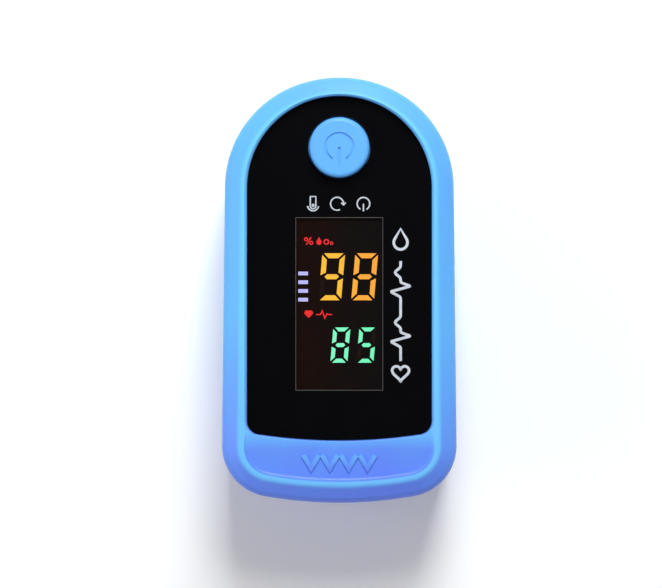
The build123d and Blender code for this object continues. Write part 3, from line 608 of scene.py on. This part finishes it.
def make_contact_coils():
    """Cone springs that press on the flat ends of the cells."""
    low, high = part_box("contact_springs")
    left, right = middle("battery_left"), middle("battery_right")
    wire_radius, wide_end, narrowing = 0.28 * MM, 3.1 * MM, 1.2 * MM
    turns, steps = 4, 20
    room = 3.6 * MM                     # from the wall to the cell
    coils = []
    for centre, wall_y, way in ((left, low.y, 1), (right, high.y, -1)):
        points = []
        for i in range(turns * steps + 1):
            share = i / (turns * steps)
            radius = wide_end - narrowing * share
            angle = 2 * pi * i / steps
            y = wall_y + way * (wire_radius + share * (room - 2 * wire_radius))
            points.append((centre.x + radius * cos(angle), y, centre.z + radius * sin(angle)))
        coils.append(wire("contact_coil", points, wire_radius, 2))
    coils = join("contact_coils", coils)
    smooth(coils, 50)
    finish_piece(coils, nickel, "lower_half", "nickel", "contact_springs")


def make_flex_ribbon():
    """Flat cable that bows a little between its two sockets."""
    low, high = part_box("flex_cable")
    bow, half_flex = 0.7 * MM, 4.4 * MM
    held, free_share = 0.1, 0.75        # of its height: in the lower socket, and between the two
    steps = 24
    points = []
    for i in range(steps + 1):
        share = i / steps
        free = min(max((share - held) / free_share, 0), 1)
        y, z = hinge.y + bow * sin(2 * pi * free), low.z + share * (high.z - low.z)
        points.append((low.x, y, z))
    ribbon = drawn_path("flex_ribbon", points)
    bpy.ops.object.mode_set(mode="EDIT")
    bpy.ops.mesh.select_all(action="SELECT")
    bpy.ops.mesh.extrude_region_move(TRANSFORM_OT_translate={"value": (high.x - low.x, 0, 0)})
    bpy.ops.mesh.select_all(action="SELECT")
    bpy.ops.mesh.normals_make_consistent(inside=False)
    bpy.ops.object.mode_set(mode="OBJECT")
    settle(ribbon)
    apply_modifier(ribbon, "SOLIDIFY", thickness=0.16 * MM, offset=0)
    apply_modifier(ribbon, "BEVEL", width=0.04 * MM, segments=2,
                   limit_method="ANGLE", angle_limit=radians(60))
    smooth(ribbon, 40)
    finish_piece(ribbon, flex_amber, None, "flex_film", "flex_cable")
    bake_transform(ribbon)


# ---------------------------------------------------------------- finger pads
def make_finger_pad(node, body, side):
    """Soft lining with rounded lips, from its plain solid, with shallow grip ribs in the trough."""
    bpy.ops.object.select_all(action="DESELECT")
    pad = nodes[node].copy()
    pad.data = nodes[node].data.copy()
    bpy.context.collection.objects.link(pad)
    pad.parent = None
    pad.name = node.replace("_finger", "") + "_lining"
    for key in list(pad.keys()):
        del pad[key]
    select_only(pad)
    bpy.ops.object.mode_set(mode="EDIT")
    bpy.ops.mesh.select_all(action="SELECT")
    bpy.ops.mesh.remove_doubles(threshold=0.002 * MM)
    bpy.ops.object.mode_set(mode="OBJECT")
    apply_modifier(pad, "REMESH", mode="VOXEL", voxel_size=0.2 * MM)
    apply_modifier(pad, "SMOOTH", factor=0.5, iterations=6)
    rib_pitch, rib_height = 2.1 * MM, 0.09 * MM
    trough, rib_fade, split_gap = 7.4 * MM, 1.5 * MM, 0.4 * MM
    normals = [vertex.normal.copy() for vertex in pad.data.vertices]
    for vertex, normal in zip(pad.data.vertices, normals):
        x, y, z = vertex.co
        in_trough = side * normal.z < -0.25 and abs(x) < trough
        if in_trough and abs(z - hinge.z) > split_gap:
            fade = min(1, (trough - abs(x)) / rib_fade)
            wave = max(0, cos(2 * pi * y / rib_pitch)) ** 2
            vertex.co = vertex.co + normal * rib_height * fade * wave
    bpy.ops.object.shade_smooth()
    finish_piece(pad, grey_silicone, body, "grey_silicone", node)


make_window_line()
make_icons()
make_pulse_trace()
make_torsion_spring(1)
make_torsion_spring(-1)
make_contact_coils()
make_flex_ribbon()
make_finger_pad("lower_finger_pad", "lower_half", -1)
make_finger_pad("upper_finger_pad", "upper_half", 1)


# ---------------------------------------------------------------- studio
def make_floor():
    """Pale paper with painted light: it glows a little near the object, as painted shade round it,
    and more so away from the object.
    """
    bpy.ops.object.select_all(action="DESELECT")
    bpy.ops.mesh.primitive_plane_add(size=3)
    floor = bpy.context.object
    floor.name = "studio_floor"
    mat, shader = new_material("floor_paper")
    plug(mat, shader, "Base Color", (0.9, 0.9, 0.9, 1))
    plug(mat, shader, "Roughness", 0.9)
    # Painted light: the paper's own slightly warm glow, dimmed near the object as painted shade.
    plug(mat, shader, "Emission Color", (1, 0.985, 0.93, 1))
    away = add(mat, "ShaderNodeVectorMath", {"operation": "LENGTH"})
    mat.node_tree.links.new(place(mat), away.inputs[0])
    near, far = 70 * MM, 500 * MM
    painted_floor_glow = spread(mat, away.outputs["Value"], 0.14, 0.95, near, far)
    plug(mat, shader, "Emission Strength", painted_floor_glow)
    floor.data.materials.append(mat)


def make_light(name, place_mm, size_mm, power, colour):
    """Soft box that faces the middle of the object."""
    lamp = bpy.data.lights.new(name, "AREA")
    lamp.shape = "RECTANGLE"
    lamp.size, lamp.size_y = size_mm[0] * MM, size_mm[1] * MM
    lamp.energy = power
    lamp.color = colour
    holder = bpy.data.objects.new(name, lamp)
    bpy.context.collection.objects.link(holder)
    holder.location = Vector(place_mm) * MM
    aim = Vector((0, 0, 20 * MM)) - holder.location
    holder.rotation_euler = aim.to_track_quat("-Z", "Y").to_euler()


def make_world():
    """Even pale surroundings that darken overhead, with a plain pale wall behind them."""
    world = bpy.data.worlds.new("studio_world")
    world.use_nodes = True
    bpy.context.scene.world = world
    tree = world.node_tree
    background = tree.nodes["Background"]
    coordinates = tree.nodes.new("ShaderNodeTexCoord")
    split = tree.nodes.new("ShaderNodeSeparateXYZ")
    ramp = tree.nodes.new("ShaderNodeValToRGB")
    tree.links.new(coordinates.outputs["Generated"], split.inputs[0])
    tree.links.new(split.outputs["Z"], ramp.inputs[0])
    ramp.color_ramp.elements[0].position = 0.75
    ramp.color_ramp.elements[0].color = (0.98, 0.97, 0.96, 1)
    ramp.color_ramp.elements[1].position = 0.97
    ramp.color_ramp.elements[1].color = (0.02, 0.02, 0.02, 1)
    tree.links.new(ramp.outputs[0], background.inputs["Color"])
    background.inputs["Strength"].default_value = 0.3
    wall = tree.nodes.new("ShaderNodeBackground")
    wall.inputs["Color"].default_value = (0.93, 0.93, 0.93, 1)
    seen = tree.nodes.new("ShaderNodeLightPath")
    mix = tree.nodes.new("ShaderNodeMixShader")
    tree.links.new(seen.outputs["Is Camera Ray"], mix.inputs[0])
    tree.links.new(background.outputs[0], mix.inputs[1])
    tree.links.new(wall.outputs[0], mix.inputs[2])
    tree.links.new(mix.outputs[0], tree.nodes["World Output"].inputs["Surface"])


def make_camera():
    """Long lens, looking straight down on the panel."""
    view_width = 89.94 * MM             # at the height of the panel
    rise = 600 * MM
    over_x, over_y = -1.13 * MM, -0.52 * MM
    camera = bpy.data.cameras.new("camera")
    camera.sensor_width = 36
    camera.lens = camera.sensor_width * rise / view_width
    holder = bpy.data.objects.new("camera", camera)
    bpy.context.collection.objects.link(holder)
    holder.location = (over_x, over_y, rim_top + rise)
    camera.clip_start, camera.clip_end = 0.01, 10
    bpy.context.scene.camera = holder


make_floor()
make_world()
make_light("key", (40, 385, 420), (180, 180), 1.95, (0.93, 1.0, 0.97))
make_light("top", (30, 230, 580), (120, 120), 1.4, (1.0, 1.0, 1.0))
make_light("fill", (-380, -40, 330), (280, 280), 0.48, (1.0, 0.97, 1.0))
make_light("low_fill", (-90, -330, 260), (260, 180), 0.07, (1.0, 0.92, 1.0))
make_camera()
bpy.context.scene.view_settings.view_transform = "Standard"
